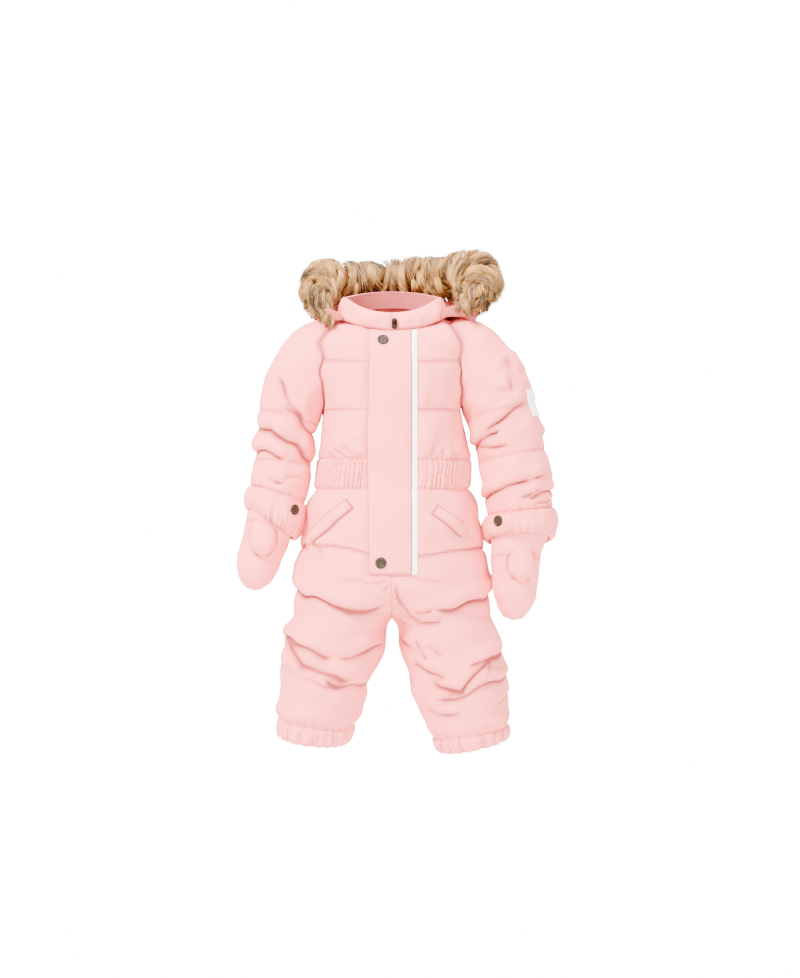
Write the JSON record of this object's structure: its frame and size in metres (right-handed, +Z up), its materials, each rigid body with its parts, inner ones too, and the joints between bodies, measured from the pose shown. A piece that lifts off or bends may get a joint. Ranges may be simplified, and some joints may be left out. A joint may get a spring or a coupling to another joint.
{
  "type": "baby snowsuit",
  "caption": "Padded one-piece baby snowsuit with a gathered waist, mittens and a fur-trimmed hood lying back, filled out as worn.",
  "frame": {"origin": "middle of the neck's base between the shoulders, where the wearer carries the suit", "axes": "+X to the wearer's left, +Y to the back, +Z up"},
  "size_m": [0.4189, 0.2503, 0.6603],
  "materials": {
    "cloth": "pale pink padded poplin, matt with a soft sheen",
    "gathered_cloth": "the same cloth gathered on elastic",
    "hood_cloth": "the same cloth in the hood's shade",
    "fur": "long tan fur with grey-beige tips and dark streaks",
    "reflective": "silver-white reflective tape",
    "label": "blank white woven label",
    "snap_metal": "dark antique snap caps",
    "zip_metal": "dark brown lacquered zip slider"
  },
  "bodies": {
    "garment": {"chest_front_right": "cloth", "chest_front_left": "cloth", "back_upper": "cloth", "waistband_front_right": "gathered_cloth", "waistband_front_left": "gathered_cloth", "waistband_back": "gathered_cloth", "trouser_front_right": "cloth", "trouser_front_left": "cloth", "trouser_back_right": "cloth", "trouser_back_left": "cloth", "leg_cuff_right": "gathered_cloth", "leg_cuff_left": "gathered_cloth", "sleeve_right": "cloth", "sleeve_left": "cloth", "sleeve_cuff_right": "gathered_cloth", "sleeve_cuff_left": "gathered_cloth", "mitten_right": "cloth", "mitten_left": "cloth", "thumb_right": "cloth", "thumb_left": "cloth", "placket": "cloth", "reflective_stripe": "reflective", "pocket_welt_right": "cloth", "pocket_welt_left": "cloth", "collar_front_right": "cloth", "collar_front_left": "cloth", "collar_back": "cloth", "hood_shell": "hood_cloth", "fur_trim": "fur", "zip_slider": "zip_metal", "snap_top": "snap_metal", "snap_bottom": "snap_metal", "snap_cuff_right": "snap_metal", "snap_cuff_left": "snap_metal", "sleeve_label": "label"},
    "zip_pull": {"zip_pull_tab": "zip_metal"}
  },
  "joints": [
    {"name": "zip_pull_swing", "type": "hinge", "parent": "garment", "child": "zip_pull", "pos_m": [0.0033, -0.0588, 0.0045], "axis": [1, 0, 0], "range_deg": [-150, 0]}
  ]
}
